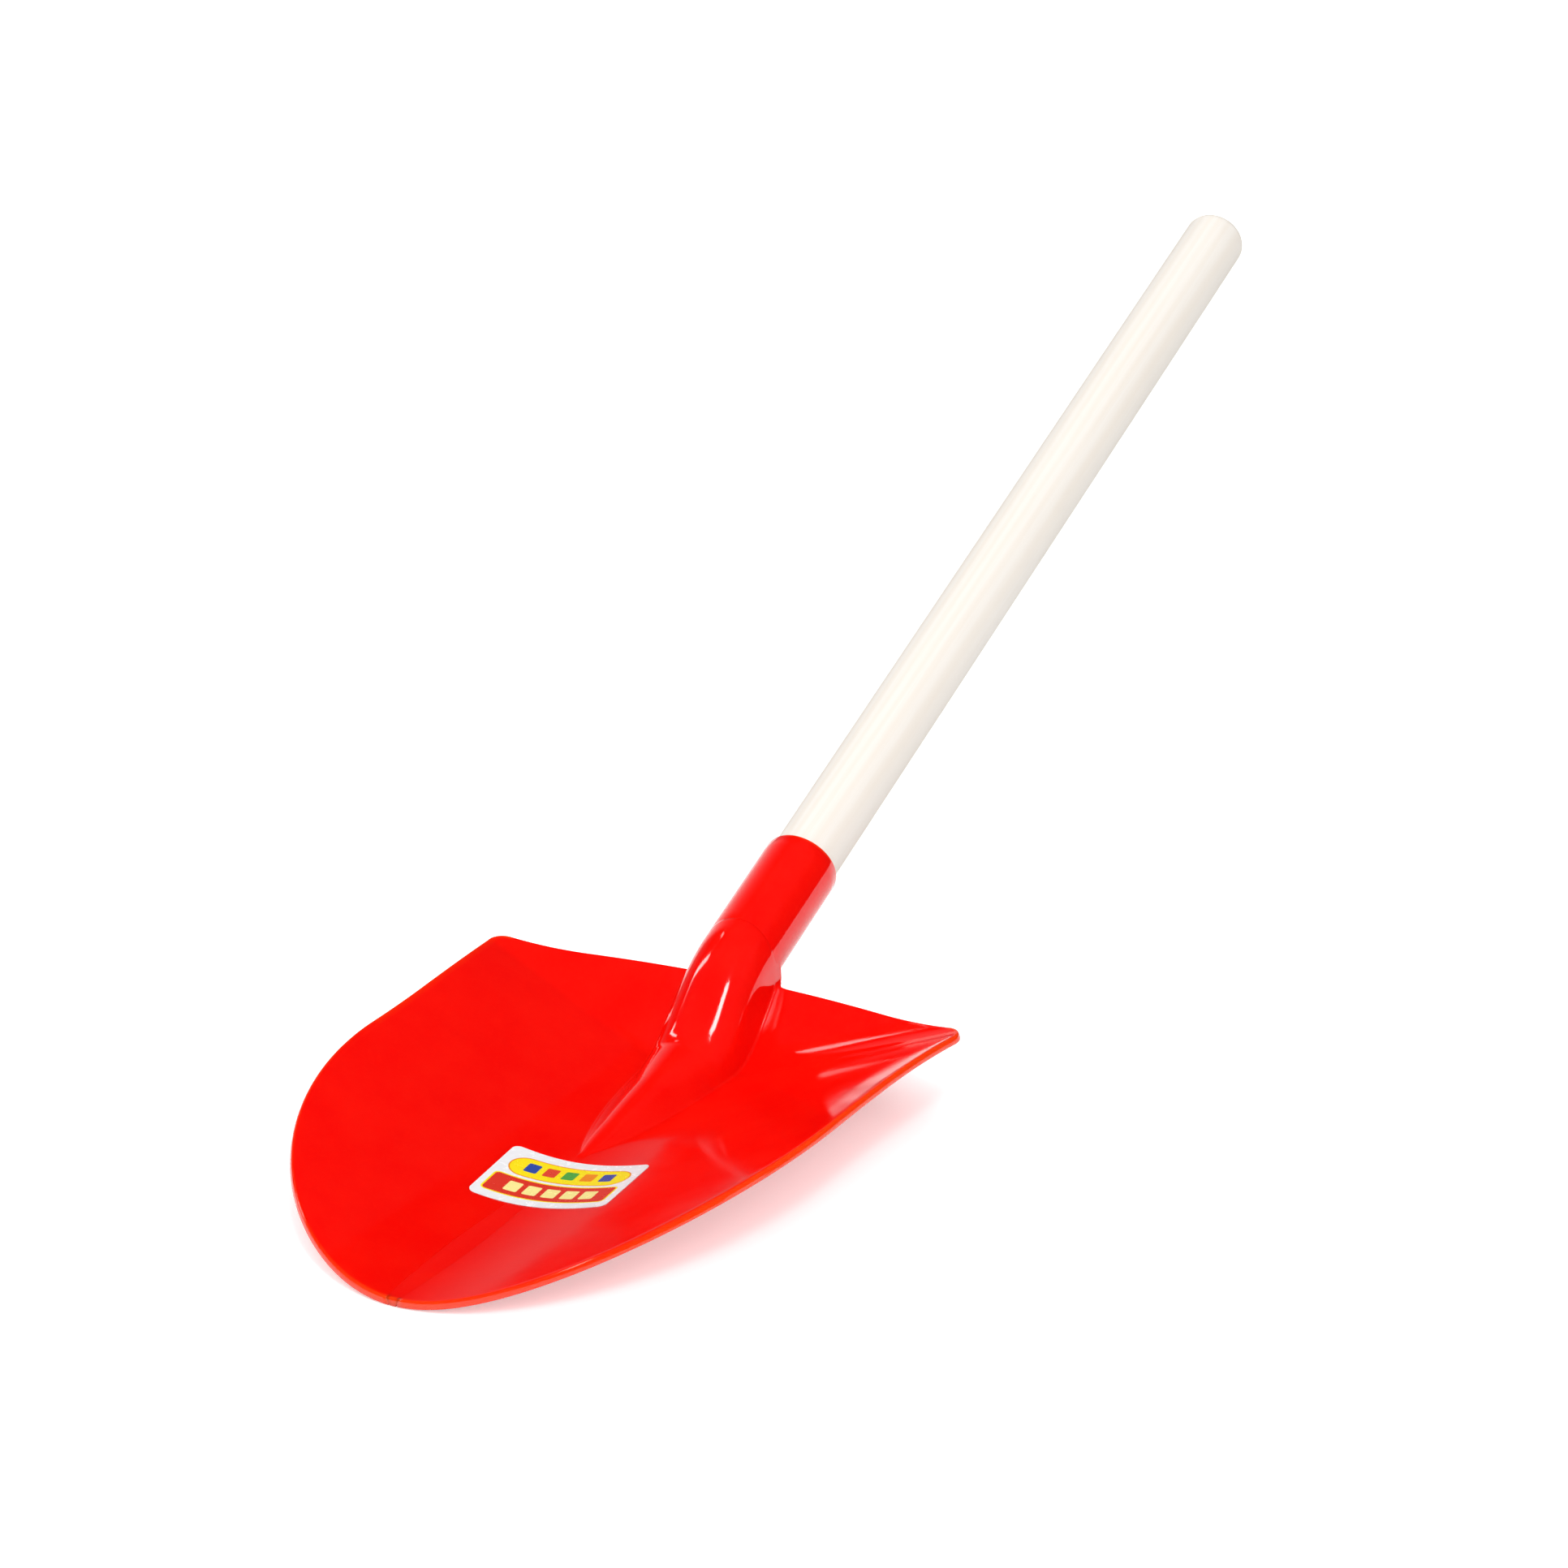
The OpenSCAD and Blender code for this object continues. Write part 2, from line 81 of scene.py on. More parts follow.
# Outside of the socket near its closed end: station past its foot, and radius
SOCKET_FOOT = ((0, 9.4), (0.5, 10.1), (1.4, 10.27), (7, 10.335))
SOCKET_WAIST = (24, 10.32)
MOUTH_SOFT, MOUTH_ROLL, MOUTH_STEPS, MOUTH_BEVEL, BORE_FILLET = 1.2, 0.5, 10, 0.6, 0.4
SEAT_ROUND = 0.15

# Segments round each turned form, and the angles over which an edge stays sharp
SOCKET_SEGMENTS, SEAT_SEGMENTS, HANDLE_SEGMENTS, SCREW_SEGMENTS = 160, 72, 128, 64
SCREW_SHARP, LABEL_SHARP = math.radians(35), math.radians(50)

# Screw: straight side of its head, its point, and the cross recess as height over the head's top,
# half length and half width of its arms
HEAD_SIDE, POINT_LENGTH, CROWN_STEPS = 0.9, 3.8, 15
RECESS = ((1, 2.6, 0.6), (-1.3, 1.3, 0.36))

# Label: thickness of the film, its gap to the floor, its grid, and millimetres in a unit of its UV map
LABEL_THICK, LABEL_LIFT = 0.12, 0.05
LABEL_COLUMNS, LABEL_ROWS, LABEL_CORNER_ROWS = 48, 28, 8
LABEL_UNIT = 100

# Painted orange glow of the plastic: the rim's fade, the mouth's fade and strength; and where the blade
# is thin and lets light through
RIM_GLOW_FADE, MOUTH_GLOW_BAND, MOUTH_GLOW_FADE, MOUTH_GLOW_SHARE = 1.1, 2.0, 1.2, 0.7
THIN_SIDE, THIN_FRONT, THIN_FADE = 14, 3, 8

# Colours, in linear light
PLASTIC_DEEP, PLASTIC_BRIGHT = (0.88, 0.0020, 0.0007), (0.91, 0.0046, 0.0013)
# The second colour on the next line is a painted orange glow for the rim and the socket's mouth
PLASTIC_GRAIN, PLASTIC_RIM_GLOW = (0.92, 0.0075, 0.0020), (0.93, 0.06, 0.004)
WOOD_PALE, WOOD_RING, WOOD_FIBRE = (0.875, 0.83, 0.77), (0.855, 0.795, 0.72), (0.84, 0.765, 0.68)
WOOD_PATCH, WOOD_PORE = (0.885, 0.845, 0.795), (0.78, 0.69, 0.58)
STEEL_COOL, STEEL_WARM, STEEL_WORN = (0.56, 0.57, 0.59), (0.68, 0.68, 0.67), (0.44, 0.44, 0.45)
FILM_COOL, FILM_PALE = (0.80, 0.80, 0.83), (0.86, 0.86, 0.88)
PRINT_YELLOW, PRINT_RED = (0.93, 0.74, 0.01), (0.70, 0.035, 0.02)
PRINT_ORANGE, PRINT_CREAM = (0.80, 0.24, 0.01), (0.93, 0.80, 0.30)
PRINT_BLOCKS = ((0.03, 0.07, 0.36), (0.72, 0.06, 0.03), (0.08, 0.36, 0.06), (0.85, 0.25, 0.01),
                (0.03, 0.07, 0.36))
FLOOR_WHITE, WALL_GREY = (0.88, 0.88, 0.88), (0.1, 0.1, 0.1)

HALF_REAR = BLADE_WIDTH / 2
HALF_FRONT = BLADE_FRONT_WIDTH / 2
SIDE = BLADE_LENGTH - FRONT_LENGTH
SPAN = math.sqrt(SECTION ** 2 + 1) - SECTION
END_REACH = (HANDLE_STATION * math.cos(TILT) + (HANDLE_RADIUS - HANDLE_EDGE) * math.sin(TILT)
             + HANDLE_EDGE * (1 - math.cos(TILT)))
SHIFT = (BLADE_LENGTH - END_REACH) / 2
AXIS = Vector((0, math.cos(TILT), math.sin(TILT)))
UNDER = Vector((0, math.sin(TILT), -math.cos(TILT)))
AXIS_ORIGIN = Vector((0, 0, AXIS_HEIGHT))
SIDE_DIR = Vector((1, 0, 0))


def clamp01(v):
    return min(1.0, max(0.0, v))


def ease(v):
    v = clamp01(v)
    return v * v * (3 - 2 * v)


def soft_max(a, b, k):
    """The larger of two levels, rounded where they lie within k of each other."""
    return max(a, b) + (max(k - abs(a - b), 0) / k) ** 2 * k / 4


def soft_min(a, b, k):
    return min(a, b) - (max(k - abs(a - b), 0) / k) ** 2 * k / 4


# The scoop's surface: x runs across it, y towards the handle, and a station t is -y
def rim_rise(t):
    """How high the rim stands over the trough's bottom."""
    if t < RISE_STATION:
        return RISE_MIDDLE - (RISE_MIDDLE - RISE_REAR) * (1 - t / RISE_STATION) ** 2
    return RISE_MIDDLE - (RISE_MIDDLE - RISE_FRONT) * ease((t - RISE_STATION) / SIDE)


def bow(x):
    """How far the rear edge bows out at x."""
    return REAR_BOW * (1 - (x / HALF_REAR) ** 2)


def trough(x, t):
    """Level of the blade, round across and straight along."""
    u = x / HALF_FRONT
    return WALL + rim_rise(max(0.0, t)) * (math.sqrt(SECTION ** 2 + u * u) - SECTION) / SPAN


def dish(x, y):
    """Level of the blade's top with its rear wall."""
    return soft_max(trough(x, -y), WALL + REAR_RISE + (y - bow(x)) * REAR_SLOPE, REAR_SWEEP)


def dish_normal(x, y):
    e = 0.05
    n = Vector((dish(x - e, y) - dish(x + e, y), dish(x, y - e) - dish(x, y + e), 2 * e))
    return n.normalized()


TIP_LEVEL = dish(0, -RIDGE_LENGTH)
KINK_LEVEL = WALL + KINK_RISE
WEDGE_SLOPE = (KINK_LEVEL - TIP_LEVEL) / (RIDGE_LENGTH - KINK_STATION)
RIDGE_START = RIDGE_LENGTH * TAPER_START


def ridge_top(y):
    """Level of the ridge's crest: the socket's tube, the slope in front of it and the long wedge."""
    tube = AXIS_HEIGHT + y * math.tan(TILT) + RIDGE_RADIUS / math.cos(TILT)
    front = KINK_LEVEL + (y + KINK_STATION) * FRONT_SLOPE
    wedge = TIP_LEVEL + (y + RIDGE_LENGTH) * WEDGE_SLOPE
    return soft_max(soft_min(tube, front, BEND_SOFT), wedge, KINK_SOFT)


def ridge_rise(y):
    return max(0.0, ridge_top(y) - dish(0, y))


def outline(t, inset):
    """Half width of the blade at station t, drawn in by the lip."""
    half = HALF_FRONT - inset
    if t > SIDE:
        v = (t - SIDE) / (FRONT_LENGTH - inset)
        return half * max(0.0, 1 - v * v) ** FRONT_SHAPE
    r = CORNER_RADIUS - inset
    cut = r - math.sqrt(max(0.0, r * r - max(0.0, r - (t - inset)) ** 2))
    return half + (HALF_REAR - HALF_FRONT) * (1 - t / SIDE) ** 2 - cut


def round_rise(y):
    """How far down the round top of the ridge reaches."""
    return min(RIDGE_RADIUS / math.cos(TILT), ROUND_SHARE * ridge_rise(y))


def full_lean(y):
    """How far the ridge's flank runs outwards for each millimetre that it falls."""
    return SOCKET_LEAN + LEAN_SPREAD * ease((-y / RIDGE_LENGTH - LEAN_START) / LEAN_REACH)


def ridge_foot(y, w):
    """Half width of the ridge where its flanks meet the floor of the blade."""
    if -y >= RIDGE_LENGTH:
        tail = TAIL_SPREAD * ease((-y - RIDGE_LENGTH) / SIDE) * w / HALF_FRONT
        return RIDGE_RADIUS * (TAIL_SHARE + tail)
    v = clamp01((-y - RIDGE_START) / (RIDGE_LENGTH - RIDGE_START))
    lean, rise, turn = full_lean(y), ridge_rise(y), round_rise(y)
    spread = math.hypot(RIDGE_RADIUS, turn * lean) + lean * (rise - turn) - RIDGE_RADIUS
    spread *= 1 - ease((-y - RIDGE_START) / (SPREAD_END * KINK_STATION))
    spread += (KINK_SPREAD * ease(-y / KINK_STATION)
               * (1 - ease((-y - KINK_STATION) / (RIDGE_LENGTH - KINK_STATION))))
    return RIDGE_RADIUS * max(TAIL_SHARE, (1 - v ** TAPER_FULLNESS) ** TAPER_POINT) + spread


def flank_lean(x, y):
    """The same, held back where the ridge is narrow for its height."""
    rise = ridge_rise(y)
    return min(full_lean(y), LEAN_LIMIT * x / rise) if rise > 0 else SOCKET_LEAN


def section(k, x, h, q, lean, f, w):
    """Point k of a section: distance from the middle, rise, and the share of the middle's floor."""
    a = math.sqrt(max((ARC_LIMIT * x) ** 2, (x - lean * (h - q)) ** 2 - (q * lean) ** 2))
    turn, fall = math.atan2(a, q * lean), math.atan2(1, lean)
    c = x + f * math.tan(fall / 2)
    if k <= ARCS:
        g = turn * k / ARCS
        return a * math.sin(g), h - q * (1 - math.cos(g)), 1.0
    if k < SEAM_START:
        v = (k - ARCS) / FLANKS
        high = (a * math.sin(turn), h - q * (1 - math.cos(turn)))
        low = (c - f * math.sin(fall), f * (1 - math.cos(fall)))
        return high[0] + (low[0] - high[0]) * v, high[1] + (low[1] - high[1]) * v, 1.0 - v
    if k <= FLAT_START:
        v = (k - SEAM_START) / SEAMS
        g = fall * (1 - v)
        return c + SEAM_LAND * v - f * math.sin(g), f * (1 - math.cos(g)), 0.0
    e = c + SEAM_LAND
    return e + (w - e) * (k - FLAT_START) / FLATS, 0.0, 0.0


def section_top(k, y, w):
    """Point k of the shell's top at y, out to the half width w."""
    x, h = ridge_foot(y, w), ridge_rise(y)
    return section(k, x, h, round_rise(y), flank_lean(x, y), min(SEAM_RADIUS, SEAM_SHARE * h), w)


def section_under(k, y, w):
    """The hollow under the ridge, drawn in by the wall."""
    x, lean = ridge_foot(y, w), flank_lean(ridge_foot(y, w), y)
    h = ridge_rise(y) * clamp01((x - WALL) / WALL - HOLLOW_START)
    b = max(x - WALL * (math.hypot(1, lean) - lean), LEAST_HOLLOW * x)
    seam = min(SEAM_RADIUS + UNDER_SEAM * WALL, SEAM_SHARE * h)
    return section(k, b, h, min(round_rise(y), h), lean, seam, w)


def fade(t):
    """Share of the rear edge's bow that a row at station t keeps."""
    return clamp01(1 - t / SIDE) ** 2


def tab(k, t):
    """How far the rows are pulled back under the socket, so the ridge runs into it."""
    share = 1.0 if k <= SEAM_START else 1 - ease((k - SEAM_START) / (SEAMS + 2))
    return SKIRT_TAB * share * fade(t - LIP)


def stations():
    """Rows from the rear rim to the tip, dense along the ridge."""
    r = CORNER_RADIUS - LIP
    rows = [LIP + r * (1 - math.cos(math.pi / 2 * i / CORNER_ROWS)) for i in range(CORNER_ROWS)]
    t = LIP + r
    while t < FINE_END:
        rows.append(t)
        t += FINE_STEP
    while t < RIDGE_LENGTH + 4:
        rows.append(t)
        t += COARSE_STEP
    reach = FRONT_LENGTH - LIP
    first = math.asin((t - SIDE) / reach)
    rows += [SIDE + reach * math.sin(first + (math.pi / 2 * FRONT_REACH - first) * i / FRONT_ROWS)
             for i in range(FRONT_ROWS + 1)]
    return rows


def place(k, side, t, under):
    """Point k of the row at station t, on the shell's top or under it."""
    w = outline(t, LIP)
    cut = section_under if under else section_top
    x = side * cut(k, -t, w)[0]
    y = -t + bow(x) * fade(t - LIP) + tab(k, t)
    dist, rise, share = cut(k, y, w)
    x = side * dist
    yd = min(y, bow(x))
    level = share * dish(0, yd) + (1 - share) * dish(x, yd)
    if not under:
        return Vector((x, y, level + rise))
    n = dish_normal(x, yd)
    back = 1.0 if k > SEAM_START + 2 else REAR_SHARE
    return Vector((x - WALL * n.x, y - WALL * n.y * back, level - WALL * n.z + rise))


def new_object(name, verts, faces, smooth=True):
    mesh = bpy.data.meshes.new(name)
    mesh.from_pydata([tuple(v) for v in verts], [], faces)
    mesh.validate()
    if smooth:
        mesh.polygons.foreach_set("use_smooth", [True] * len(mesh.polygons))
    mesh.update()
    obj = bpy.data.objects.new(name, mesh)
    bpy.context.scene.collection.objects.link(obj)
    return obj


def cells(rows, columns):
    """Corners of each cell in a grid of points."""
    for j in range(rows - 1):
        for i in range(columns - 1):
            a = j * columns + i
            yield a, a + 1, a + columns + 1, a + columns


def map_uv(obj, name, values):
    """Gives each corner of the mesh the pair of its vertex."""
    layer = obj.data.uv_layers.new(name=name)
    for loop in obj.data.loops:
        layer.data[loop.index].uv = values[loop.vertex_index]


def shell():
    """Blade and ridge: a top and an underside of like rows, joined by a rounded rim."""
    rows = stations()
    count = len(rows)
    top, low = [], []
    for t in rows:
        for i in range(COLUMNS):
            k, side = abs(i - HALF_COUNT + 1), (-1 if i < HALF_COUNT - 1 else 1)
            top.append(place(k, side, t, False))
            low.append(place(k, side, t, True))
    lot = count * COLUMNS
    verts = top + low
    faces = []
    for a, b, c, d in cells(count, COLUMNS):
        faces += [(a, d, c, b), (lot + a, lot + b, lot + c, lot + d)]
    border = [j * COLUMNS for j in range(count)]
    border += [(count - 1) * COLUMNS + i for i in range(1, COLUMNS)]
    border += [j * COLUMNS + COLUMNS - 1 for j in range(count - 2, -1, -1)]
    border += range(COLUMNS - 2, 0, -1)
    total = len(border)
    rings = []
    for n, key in enumerate(border):
        tangent = top[border[(n + 1) % total]] - top[border[n - 1]]
        thick = top[key] - low[key]
        out = tangent.cross(thick).normalized()
        if n == 0:
            sign = 1.0 if out.x < 0 else -1.0
        out = out * sign
        middle, half = (top[key] + low[key]) / 2, thick / 2
        ring = [key]
        for m in range(1, RIM_STEPS):
            g = math.pi * m / RIM_STEPS
            c, s = math.cos(g), math.sin(g)
            ring.append(len(verts))
            verts.append(middle + half * math.copysign(abs(c) ** RIM_POWER, c)
                         + out * (LIP * s ** RIM_POWER))
        ring.append(lot + key)
        rings.append(ring)
    for n in range(total):
        a, b = rings[n], rings[(n + 1) % total]
        for m in range(RIM_STEPS):
            face = (a[m], a[m + 1], b[m + 1], b[m])
            faces.append(face if sign > 0 else face[::-1])
    return verts, faces


def lathe(profile, segments, origin, axis, side):
    """Turned form: profile holds (station, radius) pairs, closed on the axis at both ends."""
    across = axis.cross(side)
    verts, faces, rings = [], [], []
    for s, r in profile:
        if r <= 0:
            rings.append([len(verts)])
            verts.append(origin + axis * s)
            continue
        ring = []
        for i in range(segments):
            g = 2 * math.pi * i / segments
            ring.append(len(verts))
            verts.append(origin + axis * s + side * (r * math.cos(g)) + across * (r * math.sin(g)))
        rings.append(ring)
    for a, b in zip(rings, rings[1:]):
        for i in range(segments):
            j = (i + 1) % segments
            if len(a) == 1:
                faces.append((a[0], b[i], b[j]))
            elif len(b) == 1:
                faces.append((a[i], b[0], a[j]))
            else:
                faces.append((a[i], b[i], b[j], a[j]))
    return verts, faces


def arc(centre_s, centre_r, radius, start, end, steps):
    """Points of an arc in a profile; the angle is measured from the station's direction."""
    return [(centre_s + radius * math.cos(math.radians(start + (end - start) * i / steps)),
             centre_r + radius * math.sin(math.radians(start + (end - start) * i / steps)))
            for i in range(steps + 1)]


def merge(*parts):
    """One list of points and one of faces from several."""
    verts, faces = [], []
    for v, f in parts:
        base = len(verts)
        verts += list(v)
        faces += [tuple(base + i for i in face) for face in f]
    return verts, faces


def socket():
    """Round socket with a softened edge and a drafted blind bore."""
    foot, edge = BORE_STATION - END_WALL, MOUTH_STATION - MOUTH_SOFT
    # the outside, from the closed end to the mouth
    profile = [(foot, 0)] + [(foot + s, r) for s, r in SOCKET_FOOT] + [SOCKET_WAIST]
    profile += [(edge - 3, SOCKET_RADIUS), (edge, SOCKET_RADIUS)]
    for i in range(1, MOUTH_STEPS + 1):
        g = math.pi / 2 * i / MOUTH_STEPS
        profile.append((MOUTH_STATION - MOUTH_SOFT * (1 - math.sin(g)),
                        SOCKET_RADIUS - 0.1 - MOUTH_ROLL * (1 - math.cos(g))))
    # over the mouth and down the bore to its bottom
    profile += [(MOUTH_STATION, BORE_RADIUS + 0.35), (MOUTH_STATION - 0.12, BORE_RADIUS + 0.15)]
    profile += [(MOUTH_STATION - MOUTH_BEVEL, BORE_RADIUS), (BORE_STATION + BORE_FILLET, BORE_BOTTOM)]
    profile += [(BORE_STATION, BORE_BOTTOM - BORE_FILLET), (BORE_STATION, 0)]
    return lathe(profile, SOCKET_SEGMENTS, AXIS_ORIGIN, AXIS, SIDE_DIR)


def screw_seat():
    """Low round seat under the screw's head, flared into the socket."""
    r, top = HEAD_RADIUS + SEAT_MARGIN, SOCKET_RADIUS + SEAT_HEIGHT
    profile = [(SOCKET_RADIUS - 1.0, 0), (SOCKET_RADIUS - 1.0, r + 0.9), (SOCKET_RADIUS - 0.9, r + 0.5),
               (SOCKET_RADIUS - 0.5, r + 0.12), (SOCKET_RADIUS, r)]
    profile += arc(top - SEAT_ROUND, r - SEAT_ROUND, SEAT_ROUND, 90, 0, 4)
    profile += [(top, 0)]
    return lathe(profile, SEAT_SEGMENTS, AXIS_ORIGIN + AXIS * SCREW_STATION, UNDER, SIDE_DIR)


def in_metres(verts):
    """Puts points on the frame: in metres, with the footprint's middle at the origin."""
    return [Vector((v.x, v.y + SHIFT, v.z)) * MM for v in verts]


# Node helpers
class Nodes:
    """A material and short ways to add its nodes."""

    def __init__(self, name):
        self.mat = bpy.data.materials.new(name)
        self.mat.use_nodes = True
        self.tree = self.mat.node_tree
        self.tree.nodes.clear()
        self.out = self.tree.nodes.new("ShaderNodeOutputMaterial")

    def add(self, kind, **values):
        node = self.tree.nodes.new(kind)
        for key, value in values.items():
            setattr(node, key, value)
        return node

    def link(self, a, b):
        self.tree.links.new(a, b)

    def feed(self, target, value):
        if isinstance(value, (int, float, tuple)):
            target.default_value = value
        else:
            self.link(value, target)

    def coords(self, kind):
        return self.add("ShaderNodeTexCoord").outputs[kind]

    def parts(self, vector):
        node = self.add("ShaderNodeSeparateXYZ")
        self.link(vector, node.inputs[0])
        return node.outputs

    def math(self, op, a, b=0.0):
        node = self.add("ShaderNodeMath", operation=op)
        self.feed(node.inputs[0], a)
        self.feed(node.inputs[1], b)
        return node.outputs[0]

    def length(self, x, y):
        return self.math("SQRT", self.math("ADD", self.product(x, x), self.product(y, y)))

    def product(self, first, *others):
        for value in others:
            first = self.math("MULTIPLY", first, value)
        return first

    def mix(self, share, a, b):
        node = self.add("ShaderNodeMix", data_type="RGBA")
        self.feed(node.inputs["Factor"], share)
        self.feed(node.inputs[6], a if not isinstance(a, tuple) else (*a, 1))
        self.feed(node.inputs[7], b if not isinstance(b, tuple) else (*b, 1))
        return node.outputs[2]

    def noise(self, vector, scale, detail=2.0, rough=0.5, distort=0.0):
        node = self.add("ShaderNodeTexNoise")
        self.feed(node.inputs["Vector"], vector)
        node.inputs["Scale"].default_value = scale
        node.inputs["Detail"].default_value = detail
        node.inputs["Roughness"].default_value = rough
        node.inputs["Distortion"].default_value = distort
        return node.outputs["Fac"]

    def mapped(self, vector, scale, turn=(0, 0, 0)):
        node = self.add("ShaderNodeMapping")
        self.feed(node.inputs["Vector"], vector)
        node.inputs["Rotation"].default_value = turn
        node.inputs["Scale"].default_value = scale
        return node.outputs[0]

    def ramp(self, value, low, high, to_low=0.0, to_high=1.0, kind="LINEAR"):
        node = self.add("ShaderNodeMapRange", clamp=True, interpolation_type=kind)
        self.feed(node.inputs["Value"], value)
        ends = (low, high, to_low, to_high)
        for key, number in zip(("From Min", "From Max", "To Min", "To Max"), ends):
            node.inputs[key].default_value = number
        return node.outputs[0]

    def bump(self, height, strength, distance, normal=None):
        node = self.add("ShaderNodeBump")
        node.inputs["Strength"].default_value = strength
        node.inputs["Distance"].default_value = distance
        self.feed(node.inputs["Height"], height)
        if normal is not None:
            self.link(normal, node.inputs["Normal"])
        return node.outputs[0]

    def principled(self, **values):
        node = self.add("ShaderNodeBsdfPrincipled")
        for key, value in values.items():
            self.feed(node.inputs[key.replace("_", " ")], value)
        self.link(node.outputs[0], self.out.inputs[0])
        return node


def red_plastic():
    """Glossy plastic with a painted orange glow on its thin rim, that lets some light through where the
    blade is thin.
    """
    m = Nodes("moulded_red_plastic")
    place_at = m.coords("Object")
    cloud = m.noise(place_at, 60, 3, 0.6)
    grain = m.noise(place_at, 900, 2, 0.6)
    pits = m.noise(place_at, 2600, 1, 0.5)
    base = m.mix(m.ramp(cloud, 0.35, 0.7), PLASTIC_DEEP, PLASTIC_BRIGHT)
    base = m.mix(m.ramp(grain, 0.5, 0.75, 0, 0.35), base, PLASTIC_GRAIN)
    shares = m.parts(m.coords("UV"))
    # Painted glow: the first UV share paints the rim and the socket's mouth orange, as if lit through
    # the thin edge
    base = m.mix(m.math("MULTIPLY", shares[0], 0.8), base, PLASTIC_RIM_GLOW)
    scratch = m.noise(m.mapped(place_at, (260, 26, 60), (0, 0, 0.5)), 6, 3, 0.7, 0.4)
    rough = m.math("ADD", m.ramp(cloud, 0.3, 0.75, 0.07, 0.11), m.ramp(scratch, 0.62, 0.72, 0, 0.08))
    swell = m.bump(m.noise(place_at, 130, 2, 0.5), 0.03, 0.0004)
    skin = m.bump(m.math("ADD", m.math("MULTIPLY", grain, 0.5), m.math("MULTIPLY", pits, 0.25)),
                  0.05, 0.00006, swell)
    node = m.principled(Base_Color=base, Roughness=rough, Normal=skin)
    node.inputs["IOR"].default_value = 1.5
    m.link(m.math("MULTIPLY", shares[1], 0.5), node.inputs["Subsurface Weight"])
    node.inputs["Subsurface Radius"].default_value = (1.0, 0.1, 0.04)
    node.inputs["Subsurface Scale"].default_value = 0.003
    return m.mat


def bare_wood():
    """Sanded pale wood: long rings that wander a little, fibres, pale patches and dark pores."""
    m = Nodes("sanded_pale_wood")
    place_at = m.coords("Object")
    bend = m.noise(m.mapped(place_at, (30, 30, 4)), 1.0, 2, 0.5)
    wander = m.add("ShaderNodeCombineXYZ")
    m.link(m.math("MULTIPLY", bend, 0.004), wander.inputs[0])
    m.link(m.math("MULTIPLY", bend, -0.003), wander.inputs[1])
    warped = m.add("ShaderNodeVectorMath", operation="ADD")
    m.link(place_at, warped.inputs[0])
    m.link(wander.outputs[0], warped.inputs[1])
    rings = m.add("ShaderNodeTexWave", wave_type="BANDS", bands_direction="X", wave_profile="SIN")
    m.link(m.mapped(warped.outputs[0], (1, 0.35, 0.05)), rings.inputs["Vector"])
    rings.inputs["Scale"].default_value = 110
    rings.inputs["Distortion"].default_value = 2.2
    rings.inputs["Detail"].default_value = 2
    rings.inputs["Detail Scale"].default_value = 1.2
    fibre = m.noise(m.mapped(place_at, (2600, 2600, 34)), 1.0, 3, 0.65)
    pores = m.noise(m.mapped(place_at, (5200, 5200, 130)), 1.0, 2, 0.6)
    patch = m.noise(m.mapped(place_at, (90, 90, 16)), 1.0, 2, 0.5)
    base = m.mix(m.ramp(rings.outputs["Fac"], 0.15, 0.95), WOOD_PALE, WOOD_RING)
    base = m.mix(m.ramp(fibre, 0.42, 0.72, 0, 0.35), base, WOOD_FIBRE)
    base = m.mix(m.ramp(patch, 0.45, 0.75, 0, 0.4), base, WOOD_PATCH)
    base = m.mix(m.ramp(pores, 0.66, 0.74, 0, 0.25), base, WOOD_PORE)
    rough = m.ramp(fibre, 0.3, 0.8, 0.55, 0.72)
    skin = m.bump(m.math("ADD", fibre, m.math("MULTIPLY", pores, -0.6)), 0.25, 0.00006)
    m.principled(Base_Color=base, Roughness=rough, Normal=skin)
    return m.mat


def screw_steel():
    """Zinc plated steel, a little cloudy and worn."""
    m = Nodes("zinc_plated_steel")
    place_at = m.coords("Object")
    cloud = m.noise(place_at, 700, 3, 0.6)
    wear = m.noise(place_at, 2400, 2, 0.6)
    base = m.mix(m.ramp(cloud, 0.35, 0.7), STEEL_COOL, STEEL_WARM)
    base = m.mix(m.ramp(wear, 0.6, 0.75, 0, 0.4), base, STEEL_WORN)
    rough = m.ramp(cloud, 0.3, 0.7, 0.22, 0.4)
    skin = m.bump(wear, 0.2, 0.00003)
    node = m.principled(Base_Color=base, Roughness=rough, Normal=skin)
    node.inputs["Metallic"].default_value = 1.0
    return m.mat


